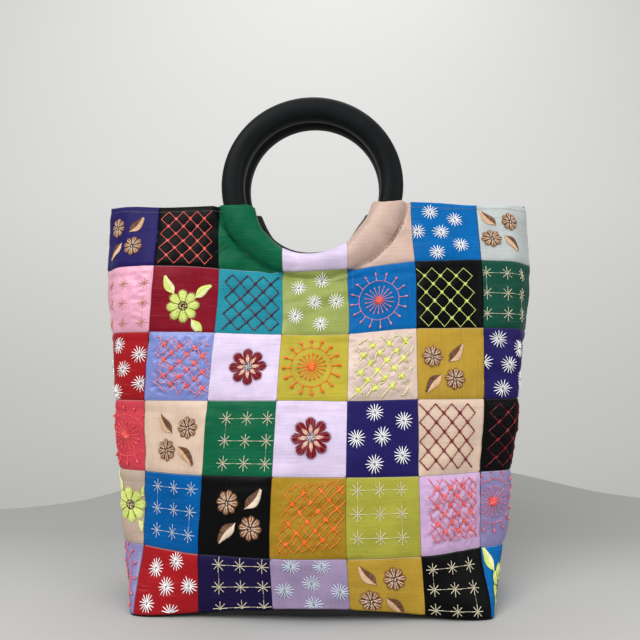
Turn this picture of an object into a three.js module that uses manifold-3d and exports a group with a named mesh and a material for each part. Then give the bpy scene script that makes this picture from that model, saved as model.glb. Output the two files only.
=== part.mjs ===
// A patchwork handbag: a front and a back wall, two sides that fold inwards, a dark base,
// and two round ring handles held in casings at the mouth.
// Millimetres, +X to the right, +Z up. The front faces -Y and the bag stands on z = 0.
import * as THREE from 'three';
import { mergeVertices } from 'three/addons/utils/BufferGeometryUtils.js';
import Module from 'manifold-3d';

const wasm = await Module();
wasm.setup();

// Driving sizes
const mouthWidth = 366;
const rimHeight = 316;
const bellyDepth = 128;
const clothWall = 2.4;
const hemFold = 0.8;
const patchPuff = 1.3;
const baseWall = 2.6;
const baseLipCorner = 3.6;
const baseLipMiddle = 11;
const ringDiameter = 156;
const ringTube = 21.5;
const ringAboveRim = 19;
const backRingLift = 4;
const casingWall = 2.0;
const casingAboveRim = 2;
const clearance = 0.35;
const seamGap = 0.3;

// The patchwork grid: five columns on a wall, two on a side, and nearly six rows
const wallColumns = 5;
const sideColumns = 2;
const wholeRows = 5;
const lastRow = 0.73;
const stepsPerPatch = 4;
const stepsInLastRow = 3;

// Facets on the round pieces
const ringSteps = 44;
const tubeSides = 12;
const casingSteps = 52;
const casingSides = 14;
const baseRings = 5;

// Values that follow from the sizes above
const halfMouth = mouthWidth / 2;
const halfBelly = bellyDepth / 2;
const halfWall = wallColumns / 2;
const halfRound = (wallColumns + sideColumns) / 2;
const rowHeight = rimHeight / (wholeRows + lastRow);
const tubeRadius = ringTube / 2;
const ringRadius = ringDiameter / 2 - tubeRadius;
const casingBore = tubeRadius + clearance;
const casingRadius = casingBore + casingWall;
const ringPlane = casingRadius + seamGap / 2;

// Level sections of the front half. height is a share of rimHeight. The depths stand in front
// of the middle plane, as shares of half the belly, at the columns named in sectionColumns.
// cornerX, cheekX and seamX are shares of half the mouth. A seam narrower than its cheek
// is the tuck that folds inwards at the side.
const sections = [
  { height: 1.00, mid: 0.30, inner: 0.275, corner: 0.21, cheek: 0.15, cornerX: 0.740, cheekX: 0.888, seamX: 0.998 },
  { height: 0.92, mid: 0.28, inner: 0.30, corner: 0.32, cheek: 0.23, cornerX: 0.736, cheekX: 0.892, seamX: 1.004 },
  { height: 0.835, mid: 0.30, inner: 0.36, corner: 0.42, cheek: 0.31, cornerX: 0.734, cheekX: 0.893, seamX: 1.002 },
  { height: 0.66, mid: 0.46, inner: 0.47, corner: 0.48, cheek: 0.34, cornerX: 0.735, cheekX: 0.892, seamX: 0.968 },
  { height: 0.49, mid: 0.72, inner: 0.64, corner: 0.49, cheek: 0.30, cornerX: 0.734, cheekX: 0.890, seamX: 0.904 },
  { height: 0.315, mid: 0.90, inner: 0.77, corner: 0.47, cheek: 0.28, cornerX: 0.716, cheekX: 0.855, seamX: 0.832 },
  { height: 0.14, mid: 1.00, inner: 0.84, corner: 0.50, cheek: 0.32, cornerX: 0.706, cheekX: 0.814, seamX: 0.790 },
  { height: 0.04, mid: 1.00, inner: 0.83, corner: 0.66, cheek: 0.44, cornerX: 0.722, cheekX: 0.762, seamX: 0.756 },
  { height: 0.00, mid: 0.96, inner: 0.80, corner: 0.70, cheek: 0.46, cornerX: 0.730, cheekX: 0.744, seamX: 0.740 },
];
const sectionColumns = { mid: 0, inner: 1.5, corner: halfWall, cheek: 3, seam: halfRound };
const innerX = 0.443;

// A smooth curve through values at rising keys
function smooth(keys, values, at) {
  const last = keys.length - 1;
  let i = 0;
  while (i < last - 1 && at > keys[i + 1]) i += 1;
  const slope = (k) => {
    const a = Math.max(k - 1, 0);
    const b = Math.min(k + 1, last);
    return (values[b] - values[a]) / (keys[b] - keys[a]);
  };
  const span = keys[i + 1] - keys[i];
  const t = (at - keys[i]) / span;
  const t2 = t * t;
  const t3 = t2 * t;
  return values[i] * (2 * t3 - 3 * t2 + 1) + slope(i) * span * (t3 - 2 * t2 + t)
    + values[i + 1] * (3 * t2 - 2 * t3) + slope(i + 1) * span * (t3 - t2);
}

const levels = sections.map((row) => row.height).reverse();

function sectionValue(name, z) {
  return smooth(levels, sections.map((row) => row[name]).reverse(), z / rimHeight);
}

// The front half's outer surface: u counts columns from the centre, z is the height
function wallPoint(u, z) {
  const c = sectionColumns;
  const keys = [-c.seam, -c.cheek, -c.corner, -c.inner, c.mid, c.inner, c.corner, c.cheek, c.seam];
  const side = [innerX, sectionValue('cornerX', z), sectionValue('cheekX', z), sectionValue('seamX', z)];
  const front = ['inner', 'corner', 'cheek'].map((name) => sectionValue(name, z));
  front.push(0);
  const back = [...side].reverse().map((share) => -share);
  const across = smooth(keys, [...back, 0, ...side], u);
  const depth = smooth(keys, [...front].reverse().concat(sectionValue('mid', z), front), u);
  return new THREE.Vector3(halfMouth * across, -halfBelly * depth, z);
}

function wallFrame(u, z) {
  const h = 0.01;
  const along = wallPoint(u + h, z).sub(wallPoint(u - h, z)).normalize();
  const up = wallPoint(u, z + h).sub(wallPoint(u, z - h)).normalize();
  return { along, normal: along.clone().cross(up).normalize() };
}

// Each patch stands out between its seams
function puff(u, v) {
  const bump = (t) => Math.sqrt(Math.abs(Math.sin(Math.PI * t)));
  return patchPuff * bump(u + halfRound) * bump(Math.min(v, wholeRows + 0.5));
}

// The wall's lower edge stands higher in the middle of the front, where the base rolls up
function lowerEdge(u) {
  const share = Math.min(Math.abs(u) / sectionColumns.corner, 1);
  return baseLipCorner + (baseLipMiddle - baseLipCorner) * Math.cos(share * Math.PI / 2) ** 2;
}

function heightAt(u, v) {
  if (v <= wholeRows) return rimHeight - v * rowHeight;
  const top = rimHeight - wholeRows * rowHeight;
  return top + (lowerEdge(u) - top) * (v - wholeRows);
}

// A closed shell from an outer and an inner grid of points, both [row][column]
function shell(outer, inner) {
  const rows = outer.length;
  const cols = outer[0].length;
  const points = [...outer.flat(), ...inner.flat()];
  const triangles = [];
  const quad = (a, b, c, d) => triangles.push(a, b, c, a, c, d);
  const o = (r, c) => r * cols + c;
  const n = (r, c) => rows * cols + r * cols + c;
  for (let r = 0; r < rows - 1; r += 1) {
    for (let c = 0; c < cols - 1; c += 1) {
      quad(o(r, c), o(r + 1, c), o(r + 1, c + 1), o(r, c + 1));
      quad(n(r, c), n(r, c + 1), n(r + 1, c + 1), n(r + 1, c));
    }
  }
  for (let c = 0; c < cols - 1; c += 1) {
    quad(o(0, c), o(0, c + 1), n(0, c + 1), n(0, c));
    quad(o(rows - 1, c), n(rows - 1, c), n(rows - 1, c + 1), o(rows - 1, c + 1));
  }
  for (let r = 0; r < rows - 1; r += 1) {
    quad(o(r, 0), n(r, 0), n(r + 1, 0), o(r + 1, 0));
    quad(o(r, cols - 1), o(r + 1, cols - 1), n(r + 1, cols - 1), n(r, cols - 1));
  }
  const geometry = new THREE.BufferGeometry();
  const flat = points.flatMap((p) => [p.x, p.y, p.z]);
  geometry.setAttribute('position', new THREE.Float32BufferAttribute(flat, 3));
  geometry.setIndex(triangles);
  return geometry;
}

function toSolid(geometry) {
  geometry.deleteAttribute('normal');
  geometry.deleteAttribute('uv');
  const merged = mergeVertices(geometry, 1e-4);
  const vertProperties = new Float32Array(merged.attributes.position.array);
  const triVerts = new Uint32Array(merged.index.array);
  return new wasm.Manifold(new wasm.Mesh({ numProp: 3, vertProperties, triVerts }));
}

function toGeometry(solid) {
  const { vertProperties, triVerts } = solid.getMesh();
  const geometry = new THREE.BufferGeometry();
  geometry.setAttribute('position', new THREE.BufferAttribute(new Float32Array(vertProperties), 3));
  geometry.setIndex(new THREE.BufferAttribute(new Uint32Array(triVerts), 1));
  geometry.computeVertexNormals();
  return geometry;
}

// The outer and inner points of the wall at one column and one row line
function wallPair(u, v, row) {
  const z = heightAt(u, v);
  const at = wallPoint(u, z);
  const { along, normal } = wallFrame(u, z);
  const thick = clothWall + (row < 2 ? hemFold : 0);
  const outer = at.clone().addScaledVector(normal, row === 0 ? 0 : puff(u, v));
  const inner = at.clone().addScaledVector(normal, -thick);
  const onSeam = Math.abs(u) === halfRound;
  if (onSeam) inner.addScaledVector(along, (at.y - inner.y) / along.y);
  if (row === 0) outer.z = rimHeight;
  inner.z = z;
  return { outer, inner };
}

// Grids of outer and inner points, from a list of columns with the half that each is on
function wallGrids(places) {
  const outer = [];
  const inner = [];
  const rows = wholeRows * stepsPerPatch + stepsInLastRow;
  for (let row = 0; row <= rows; row += 1) {
    const past = Math.max(row - wholeRows * stepsPerPatch, 0);
    const v = past > 0 ? wholeRows + past / stepsInLastRow : row / stepsPerPatch;
    const pairs = places.map(({ u, half }) => {
      const pair = wallPair(u, v, row);
      pair.outer.y *= half;
      pair.inner.y *= half;
      return pair;
    });
    outer.push(pairs.map((pair) => pair.outer));
    inner.push(pairs.map((pair) => pair.inner));
  }
  return shell(outer, inner);
}

// The seam between a wall and a side keeps this much of a column on each of them
const seamShare = seamGap / 2 / (innerX * halfMouth / sectionColumns.inner);

function wallSheet() {
  const steps = wallColumns * stepsPerPatch;
  const places = Array.from({ length: steps + 1 }, (_, i) => {
    const u = i / stepsPerPatch - halfWall;
    return { u: THREE.MathUtils.clamp(u, seamShare - halfWall, halfWall - seamShare), half: 1 };
  });
  return wallGrids(places);
}

// One side of the bag: a column in front of the side seam and a column behind it
function sideSheet() {
  const steps = stepsPerPatch * sideColumns / 2;
  const front = Array.from({ length: steps + 1 }, (_, i) => {
    return { u: Math.max(halfWall + i / stepsPerPatch, halfWall + seamShare), half: 1 };
  });
  const back = front.slice(0, -1).reverse().map(({ u }) => ({ u, half: -1 }));
  return wallGrids([...front, ...back]);
}

function ringGeometry(tube, steps, sides, centreHeight) {
  const geometry = new THREE.TorusGeometry(ringRadius, tube, sides, steps);
  geometry.rotateX(Math.PI / 2);
  geometry.translate(0, -ringPlane, centreHeight);
  return geometry;
}

// One wall, scooped out for the hand and fitted to the casing's outside
function wallGeometry(ringHeight) {
  const scoop = new THREE.CylinderGeometry(ringRadius, ringRadius, bellyDepth, casingSteps);
  scoop.translate(0, -halfBelly, ringHeight);
  const seat = ringGeometry(casingRadius + clearance, casingSteps, casingSides, ringHeight);
  return toGeometry(toSolid(wallSheet()).subtract(toSolid(scoop)).subtract(toSolid(seat)));
}

// The cloth sleeve that holds the ring's lower arc, open at both ends above the rim
function casingGeometry(ringHeight) {
  const above = new THREE.BoxGeometry(mouthWidth, bellyDepth, ringDiameter);
  above.translate(0, 0, rimHeight + casingAboveRim + ringDiameter / 2);
  const outside = toSolid(ringGeometry(casingRadius, casingSteps, casingSides, ringHeight));
  const bore = toSolid(ringGeometry(casingBore, casingSteps, casingSides, ringHeight));
  return toGeometry(outside.subtract(toSolid(above)).subtract(bore));
}

// The base: flat where it stands, rolling up at its rim to meet the walls' lower edges
function baseGeometry() {
  const flatShare = 0.7;
  const cols = 2 * halfRound * stepsPerPatch;
  const outline = [];
  for (const side of [1, -1]) {
    for (let c = 0; c < cols; c += 1) {
      const u = c / stepsPerPatch - halfRound;
      const at = wallPoint(u, lowerEdge(u));
      outline.push({ x: side * at.x, y: side * at.y, z: lowerEdge(u) - clearance });
    }
  }
  const ring = (share, thick) => outline.map((edge) => {
    const rise = Math.max(share - flatShare, 0) / (1 - flatShare);
    const z = (edge.z - baseWall) * rise ** 2 + thick;
    return new THREE.Vector3(edge.x * share, edge.y * share, z);
  });
  const shares = Array.from({ length: baseRings }, (_, i) => flatShare + (1 - flatShare) * (i / (baseRings - 1)));
  const count = outline.length;
  const points = [new THREE.Vector3(0, 0, 0), new THREE.Vector3(0, 0, baseWall)];
  shares.forEach((share) => points.push(...ring(share, 0)));
  shares.forEach((share) => points.push(...ring(share, baseWall)));
  const low = (k, i) => 2 + k * count + (i % count);
  const high = (k, i) => low(k + baseRings, i);
  const triangles = [];
  const quad = (a, b, c, d) => triangles.push(a, b, c, a, c, d);
  for (let i = 0; i < count; i += 1) {
    triangles.push(0, low(0, i + 1), low(0, i));
    triangles.push(1, high(0, i), high(0, i + 1));
    for (let k = 0; k < baseRings - 1; k += 1) {
      quad(low(k, i), low(k, i + 1), low(k + 1, i + 1), low(k + 1, i));
      quad(high(k, i), high(k + 1, i), high(k + 1, i + 1), high(k, i + 1));
    }
    quad(low(baseRings - 1, i), low(baseRings - 1, i + 1), high(baseRings - 1, i + 1), high(baseRings - 1, i));
  }
  const geometry = new THREE.BufferGeometry();
  geometry.setAttribute('position', new THREE.Float32BufferAttribute(points.flatMap((p) => [p.x, p.y, p.z]), 3));
  geometry.setIndex(triangles);
  geometry.computeVertexNormals();
  return geometry;
}

const silk = new THREE.MeshStandardMaterial({ color: 0xb0505a, roughness: 0.55, metalness: 0 });
const sideSilk = new THREE.MeshStandardMaterial({ color: 0x5a6fa8, roughness: 0.55, metalness: 0 });
const blackCloth = new THREE.MeshStandardMaterial({ color: 0x141416, roughness: 0.8, metalness: 0 });
const blackLacquer = new THREE.MeshStandardMaterial({ color: 0x0c0c0d, roughness: 0.35, metalness: 0 });

const group = new THREE.Group();

function addMesh(name, geometry, material, turned = false) {
  const mesh = new THREE.Mesh(geometry, material);
  mesh.name = name;
  mesh.rotation.z = turned ? Math.PI : 0;
  group.add(mesh);
}

const frontRingHeight = rimHeight + ringAboveRim;
const backRingHeight = frontRingHeight + backRingLift;
const handle = (height) => ringGeometry(tubeRadius, ringSteps, tubeSides, height);

addMesh('front_panel', wallGeometry(frontRingHeight), silk);
addMesh('back_panel', wallGeometry(backRingHeight), silk, true);
addMesh('side_right', sideSheet(), sideSilk);
addMesh('side_left', sideSheet(), sideSilk, true);
addMesh('casing_front', casingGeometry(frontRingHeight), silk);
addMesh('casing_back', casingGeometry(backRingHeight), silk, true);
addMesh('base_panel', baseGeometry(), blackCloth);
addMesh('handle_front', handle(frontRingHeight), blackLacquer);
addMesh('handle_back', handle(backRingHeight), blackLacquer, true);

export default group;
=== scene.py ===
"""An embroidered patchwork handbag with two black ring handles, standing on a pale table."""
import math

import bpy
import numpy as np
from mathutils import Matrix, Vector


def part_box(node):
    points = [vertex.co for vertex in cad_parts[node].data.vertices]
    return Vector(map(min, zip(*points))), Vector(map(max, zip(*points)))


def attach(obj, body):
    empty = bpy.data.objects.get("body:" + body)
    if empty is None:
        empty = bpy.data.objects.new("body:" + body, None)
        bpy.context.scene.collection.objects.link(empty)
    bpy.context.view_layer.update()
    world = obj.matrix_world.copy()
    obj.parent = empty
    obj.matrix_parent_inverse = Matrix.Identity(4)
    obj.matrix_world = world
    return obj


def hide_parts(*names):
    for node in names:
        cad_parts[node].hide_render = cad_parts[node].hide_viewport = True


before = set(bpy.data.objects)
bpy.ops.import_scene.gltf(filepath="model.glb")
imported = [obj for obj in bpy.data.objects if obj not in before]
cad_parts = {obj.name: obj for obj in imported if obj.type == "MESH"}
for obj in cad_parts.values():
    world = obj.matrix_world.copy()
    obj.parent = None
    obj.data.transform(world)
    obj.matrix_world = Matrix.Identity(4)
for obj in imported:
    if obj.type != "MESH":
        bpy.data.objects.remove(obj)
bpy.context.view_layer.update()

MM = 0.001


# Sizes, taken from the frame where it has them

def node_size(name):
    low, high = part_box(name)
    return Vector(high) - Vector(low)


def node_middle(name):
    low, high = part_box(name)
    return (Vector(low) + Vector(high)) / 2


HALF_MOUTH = 183 * MM
HALF_BELLY = 64 * MM
RIM_HEIGHT = 316 * MM
WHOLE_ROWS = 5
LAST_ROW = 0.73
FIRST_ROW = 0.935
ROW = RIM_HEIGHT / (WHOLE_ROWS + LAST_ROW)
BOTTOM_ROW = WHOLE_ROWS + LAST_ROW
PATCH_MM = 55
PATCH = PATCH_MM * MM
WALL = 1.7 * MM
LIP_CORNER = 1.4 * MM
LIP_MIDDLE = 11 * MM

RING_TUBE = node_size("handle_front").y / 2 * 0.91
RING_RADIUS = node_size("handle_front").x / 2 - RING_TUBE
RING_PLANE = abs(node_middle("handle_front").y)
RING_HEIGHT = {
    -1: node_middle("handle_front").z + 1.3 * MM,
    1: node_middle("handle_back").z + 2.6 * MM,
}
RING_SHIFT = {-1: -1.2 * MM, 1: 0.0}
CASING_OUTER = RING_TUBE + 3.6 * MM
CASING_DEPTH = RING_TUBE + 2.6 * MM
STITCH_RING = RING_RADIUS + CASING_OUTER + 1.0 * MM

# Columns run once round the bag: 0 to 7 along the front from the left side seam,
# 7 to 14 along the back. Rows run down from the rim.
HALF_COLUMNS = 7
COLUMNS = 2 * HALF_COLUMNS
MIDDLE = 3.5
ROWS = 6
# Steps of the cloth's grid along a patch, and down the short patches of the last row
FINE = 40
FINE_LAST = 29
# A distance from a seam, in millimetres, at which its mark on the cloth has faded out
FAR = 9

# Level sections of the front half, as shares of the rim's height, of half the belly
# for the depths, and of half the mouth for the widths.
SECTION_NAMES = ("height", "mid", "inner", "corner", "cheek", "corner_x", "cheek_x", "seam_x")
SECTIONS = (
    (0.00, 0.94, 0.84, 0.80, 0.52, 0.706, 0.716, 0.712),
    (0.04, 0.98, 0.86, 0.74, 0.48, 0.708, 0.742, 0.734),
    (0.14, 1.00, 0.84, 0.50, 0.32, 0.706, 0.814, 0.790),
    (0.315, 0.90, 0.77, 0.47, 0.28, 0.716, 0.855, 0.832),
    (0.49, 0.72, 0.64, 0.49, 0.30, 0.734, 0.890, 0.904),
    (0.66, 0.46, 0.47, 0.48, 0.34, 0.735, 0.892, 0.968),
    (0.835, 0.30, 0.36, 0.42, 0.31, 0.734, 0.893, 1.002),
    (0.92, 0.28, 0.30, 0.32, 0.23, 0.736, 0.892, 1.004),
    (1.00, 0.30, 0.275, 0.21, 0.15, 0.740, 0.888, 0.998),
)
INNER_X = 0.443
SECTION_KEYS = np.array((-3.5, -3, -2.5, -1.5, 0, 1.5, 2.5, 3, 3.5))


# Smooth curves and cloth noise

def smooth(keys, values, at):
    """A smooth curve through values at rising keys. values is one column per place in at."""
    keys = np.asarray(keys, float)
    values = np.asarray(values, float)
    if values.ndim == 1:
        values = np.repeat(values[:, None], len(at), axis=1)
    last = len(keys) - 1
    before = np.maximum(np.arange(last + 1) - 1, 0)
    after = np.minimum(np.arange(last + 1) + 1, last)
    slopes = (values[after] - values[before]) / (keys[after] - keys[before])[:, None]
    i = np.clip(np.searchsorted(keys, at, side="right") - 1, 0, last - 1)
    here = np.arange(len(at))
    span = keys[i + 1] - keys[i]
    t = (at - keys[i]) / span
    rise = values[i, here] * (2 * t**3 - 3 * t**2 + 1) + values[i + 1, here] * (3 * t**2 - 2 * t**3)
    bend = slopes[i, here] * (t**3 - 2 * t**2 + t) + slopes[i + 1, here] * (t**3 - t**2)
    return rise + bend * span


def smooth_on(keys, values, grid):
    """The same curve, read on a grid of places."""
    return smooth(keys, values, grid.ravel()).reshape(grid.shape)


def ease(at, start, end):
    """0 before start, 1 after end, and smooth between them."""
    t = np.clip((at - start) / (end - start), 0, 1)
    return t * t * (3 - 2 * t)


def soft_max(a, b, width):
    return width * np.logaddexp(a / width, b / width)


def cloth_noise(x, y, seed):
    """Smooth gradient noise, about -1 to 1, with one lump per unit."""
    rng = np.random.default_rng(seed)
    angles = rng.uniform(0, 2 * np.pi, (64, 64))
    x0 = np.floor(x).astype(int)
    y0 = np.floor(y).astype(int)
    fx, fy = x - x0, y - y0

    def corner(i, j):
        turn = angles[(x0 + i) % 64, (y0 + j) % 64]
        return np.cos(turn) * (fx - i) + np.sin(turn) * (fy - j)

    sx = fx**3 * (fx * (6 * fx - 15) + 10)
    sy = fy**3 * (fy * (6 * fy - 15) + 10)
    top = corner(0, 0) * (1 - sx) + corner(1, 0) * sx
    low = corner(0, 1) * (1 - sx) + corner(1, 1) * sx
    return 1.5 * (top * (1 - sy) + low * sy)


# The bag's form

def section(name, z):
    column = [row[SECTION_NAMES.index(name)] for row in SECTIONS]
    heights = [row[0] for row in SECTIONS]
    return smooth(heights, column, z / RIM_HEIGHT)


def wall_point(u, z):
    """The half that faces -Y: u counts columns from the middle, z is the height."""
    side = [section(name, z) for name in ("corner_x", "cheek_x", "seam_x")]
    inner = np.full_like(z, INNER_X)
    zero = np.zeros_like(z)
    widths = [-side[2], -side[1], -side[0], -inner, zero, inner, side[0], side[1], side[2]]
    depth = [section(name, z) for name in ("inner", "corner", "cheek")]
    middle = section("mid", z)
    depths = [zero, depth[2], depth[1], depth[0], middle, depth[0], depth[1], depth[2], zero]
    return HALF_MOUTH * smooth(SECTION_KEYS, widths, u), -HALF_BELLY * smooth(SECTION_KEYS, depths, u)


def lower_edge(u):
    share = np.minimum(np.abs(u) / 2.5, 1)
    return LIP_CORNER + (LIP_MIDDLE - LIP_CORNER) * np.cos(share * np.pi / 2) ** 2


def rim_line(x, side):
    """The mouth's upper edge: it dips a little at the left casing and rides up on the right one."""
    ends = 3.6 * MM * ease(np.abs(x), 120 * MM, 182 * MM)
    left = 1.2 * MM - 2.2 * MM * ease(x, -82 * MM, -70 * MM) + 1.6 * MM * ease(x, -62 * MM, -54 * MM)
    right = 3.0 * MM * (1 - ease(x, 92 * MM, 160 * MM)) - 1.8 * MM * (1 - ease(x, 66 * MM, 80 * MM))
    right = right + 2.2 * MM * (1 - ease(x, 53 * MM, 60 * MM))
    rise = np.where(x < 0, left, right)
    if side > 0:
        rise = 3.2 * MM * (1 - ease(np.abs(x), 74 * MM, 104 * MM))
    return RIM_HEIGHT + ends + rise


def scoop_line(x, side):
    """The upper edge of the cloth: the rim, or the ring's inner edge in the scoop."""
    x = x - RING_SHIFT[side]
    inner = RING_RADIUS - casing_room(x, side)
    dip = RING_HEIGHT[side] - np.sqrt(np.maximum(inner**2 - x**2, 0))
    return np.where(np.abs(x) < inner, np.minimum(dip, rim_line(x, side)), rim_line(x, side))


def casing_room(x, side):
    """How far a casing reaches inwards from its ring's middle line, at x across."""
    if side < 0:
        slack = -2.8 * np.exp(-(((x + 9 * MM) / (26 * MM)) ** 2))
        slack = slack + 1.3 * np.exp(-(((x + 39 * MM) / (6 * MM)) ** 2))
        slack = slack + 5.8 * (1 - ease(x, -51 * MM, -41 * MM))
        slack = slack + 3.6 * ease(x, 29 * MM, 41 * MM) + 1.0 * ease(x, 46 * MM, 52 * MM)
    else:
        slack = -1.7 * np.exp(-(((x + 22 * MM) / (23 * MM)) ** 2))
        slack = slack + 4.2 * (1 - ease(x, -49 * MM, -36 * MM)) + 5.4 * ease(x, 27 * MM, 41 * MM)
    return RING_TUBE + (0.3 + slack) * MM


def front_or_back(a):
    """Turns a place round the bag into a column from the middle and -1 for front, 1 for back."""
    a = np.mod(a, COLUMNS)
    back = a > HALF_COLUMNS
    u = np.where(back, MIDDLE - (a - HALF_COLUMNS), a - MIDDLE)
    return u, np.where(back, 1, -1)


def seam_height(u, v, half):
    """Height of a row line: the filled belly pulls the middle down and leaves the right side high."""
    upper = RIM_HEIGHT - np.where(v < 1, v * FIRST_ROW, FIRST_ROW + np.minimum(v, WHOLE_ROWS) - 1) * ROW
    rows = np.arange(7)
    sag = smooth_on(rows, (1.0, 5.0, 3.0, -0.6, -1.0, -0.8, 0.0), v) * MM
    lift = smooth_on(rows, (0.6, 3.4, 2.4, 1.4, 0.4, 0.0, 0.0), v) * MM
    share = np.where(half < 0, 1, 0.6)
    upper = upper + share * (lift * ease(u, 0.3, 1.6) - sag * np.exp(-(((u + 0.3) / 1.3) ** 2)))
    fifth = RIM_HEIGHT - (FIRST_ROW + WHOLE_ROWS - 1) * ROW
    lower = fifth + (lower_edge(u) - fifth) * (v - WHOLE_ROWS) / LAST_ROW
    return np.where(v <= WHOLE_ROWS, upper, lower)


def lean(z):
    """The whole bag leans a little: out to the right above, in to the left low down."""
    return smooth_on((0, 0.15, 0.5, 0.8, 1.1), (-0.6, -0.4, 1.2, 2.2, 1.6), z / RIM_HEIGHT) * MM


def drift(u, v, half):
    """Seams low on the front stray to the left of their even places."""
    slide = smooth_on((0, 1, 2.5, 4.6, BOTTOM_ROW), (0.02, 0.03, -0.01, -0.035, 0.02), v)
    return np.where(half < 0, slide, -0.4 * slide) * np.cos(np.clip(u / 3.5, -1, 1) * np.pi / 2) ** 0.5


def relief(a, v):
    """How far the cloth stands out from the bag's form, in metres."""
    x = a * PATCH
    y = v * PATCH
    across = np.abs(a - np.round(a)) * PATCH
    down = np.abs(v - np.round(v)) * PATCH
    near = np.minimum(across, down)
    puff = 0.9 * MM * (1 - np.exp(-near / (2.4 * MM)))
    below = np.where(v > 0.5, np.mod(v, 1) * PATCH, 1)
    ledge = -0.5 * MM * np.exp(-below / (2.2 * MM))
    drape = 1.5 * MM * cloth_noise(x / 0.062, y / 0.048, 3)
    fold = 0.75 * MM * cloth_noise(x / 0.024 + 7, y / 0.015, 5)
    gather = 0.48 * MM * cloth_noise(x / 0.0062, y / 0.019, 8) * np.exp(-down / (8 * MM))
    gather += 0.26 * MM * cloth_noise(x / 0.017, y / 0.0062, 9) * np.exp(-across / (7 * MM))
    fine = 0.12 * MM * cloth_noise(x / 0.006, y / 0.0052, 12)
    warp_x = x + 3 * MM * cloth_noise(x / 0.012, y / 0.012, 21)
    ridges = 1 - 2 * np.abs(cloth_noise(warp_x / 0.0066, y / 0.0054, 22))
    stand = puff + ledge + drape + fold + gather + fine + 1.5 * MM * crinkled(a, v) * ridges
    stand = stand + hanging_folds(a, v)
    for column in range(COLUMNS):
        for row in range(ROWS):
            if "lattice" in patch_words(column, row)[1]:
                down_patch = slice(row * FINE, row * FINE + FINE + 1)
                part = (down_patch, slice(column * FINE, column * FINE + FINE + 1))
                stand[part] += quilting(a[part] - column, v[part] - row, column, row)
    return stand


def hanging_folds(a, v):
    """Slack cloth below the casings, and a soft valley a little below each seam."""
    u, _ = front_or_back(a)
    x = a * PATCH
    y = v * PATCH
    under = np.exp(-((u / 1.25) ** 2)) * ease(v, 0.98, 1.12) * (1 - ease(v, 1.45, 1.95))
    folds = 2.1 * MM * under * cloth_noise(x / 0.034 + 3, (y + 0.22 * x) / 0.0105, 33)
    row = np.floor(v)
    strength = smooth_on((0, 1, 2, 3, 4, 5, 6), (0.0, 1.0, 1.0, 0.5, 0.3, 0.2, 0.0), row)
    strength = strength * np.clip(0.55 + 1.1 * cloth_noise(x / 0.07, row * 1.7, 35), 0, 1)
    line = 0.15 + 0.05 * cloth_noise(x / 0.045, row * 2.3, 36)
    valley = np.exp(-(((np.mod(v, 1) - line) / 0.05) ** 2))
    return folds - 1.2 * MM * strength * valley


def quilting(s, t, column, row):
    """The cells of a stitched trellis puff up between its threads."""
    words = patch_words(column, row)
    shift = motif_shift(column, row)
    right = (s - 0.5) * PATCH_MM - shift[0]
    up = -(t - 0.5) * PATCH_MM - shift[1]
    lean_x, rise, wide, tall = slant(column, row)
    full = 1 - lean_x * rise
    right, up = (right - lean_x * up) / full, (up - rise * right) / full
    x = right * (-1 if words[1].endswith("-") else 1) / (LATTICE_X * wide) + LATTICE_CELLS / 2
    y = LATTICE_CELLS / 2 - up / (LATTICE_Y * tall)
    inside = np.minimum(np.minimum(x, LATTICE_CELLS - x), np.minimum(y, LATTICE_CELLS - y))
    cells = np.sqrt(np.abs(np.cos(np.pi * (x - y)) * np.cos(np.pi * (x + y))))
    return (0.55 + 0.6 * CRINKLED.get(words[0], 0)) * MM * cells * ease(inside, -0.1, 0.25)


# The patchwork, row by row. Each entry is a cloth, a motif with an optional - for its mirror
# image, and a thread. The front's seven columns come first, then the back's.

FRONT = (
    ("navy posy- brown", "black lattice coral", "emerald plain", "lavender plain",
     "peach plain", "azure daisies white", "grey posy brown"),
    ("pink stars tan", "maroon bloom lime", "teal lattice plum", "pear daisies- white",
     "azure sunburst coral", "black lattice- lime", "forest stars cream"),
    ("red daisies white", "periwinkle lattice- coral", "lavender flower crimson",
     "chartreuse sunburst orange", "blush lattice yellow", "mustard posy- brown",
     "navy daisies white"),
    ("rose sunburst coral", "cream posy brown", "emerald stars cream", "lavender flower crimson",
     "navy daisies white", "cream lattice- crimson", "black lattice crimson"),
    ("beige bloom lime", "cobalt stars silver", "black posy- brown", "ochre lattice orange",
     "olive stars cream", "lilac lattice- coral", "slate sunburst coral"),
    ("slate sunburst coral", "red daisies- white", "indigo stars cream", "mauve daisies silver",
     "mustard posy brown", "black stars cream", "azure bloom lime"),
)
BACK = (
    ("teal lattice plum", "rose daisies white", "black stars cream", "mustard plain",
     "black plain", "navy sunburst coral", "cream posy- brown"),
    ("black lattice crimson", "pear posy brown", "lilac sunburst orange", "red stars cream",
     "cream flower crimson", "cobalt daisies white", "ochre lattice orange"),
    ("azure daisies- white", "lavender flower crimson", "emerald lattice lime",
     "navy posy brown", "blush sunburst coral", "black stars silver", "maroon daisies white"),
    ("pink lattice coral", "indigo stars cream", "cream bloom lime", "teal daisies white",
     "olive lattice yellow", "rose posy- brown", "forest stars cream"),
    ("mustard posy brown", "azure sunburst coral", "black daisies white",
     "lavender lattice plum", "red stars cream", "chartreuse flower crimson", "navy daisies- white"),
    ("periwinkle stars cream", "black lattice- lime", "peach posy brown", "cobalt daisies white",
     "black sunburst orange", "lilac flower crimson", "emerald lattice coral"),
)
LATTICE_CELLS = 3.5
LATTICE_X = 13.2
LATTICE_Y = 13.6
# How strongly each cloth has crinkled under its stitches, 0 to 1
CRINKLED = {
    "periwinkle": 1.0, "blush": 1.0, "lilac": 0.75, "ochre": 0.5, "slate": 0.45,
    "pink": 0.5, "rose": 0.35,
}
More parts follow.
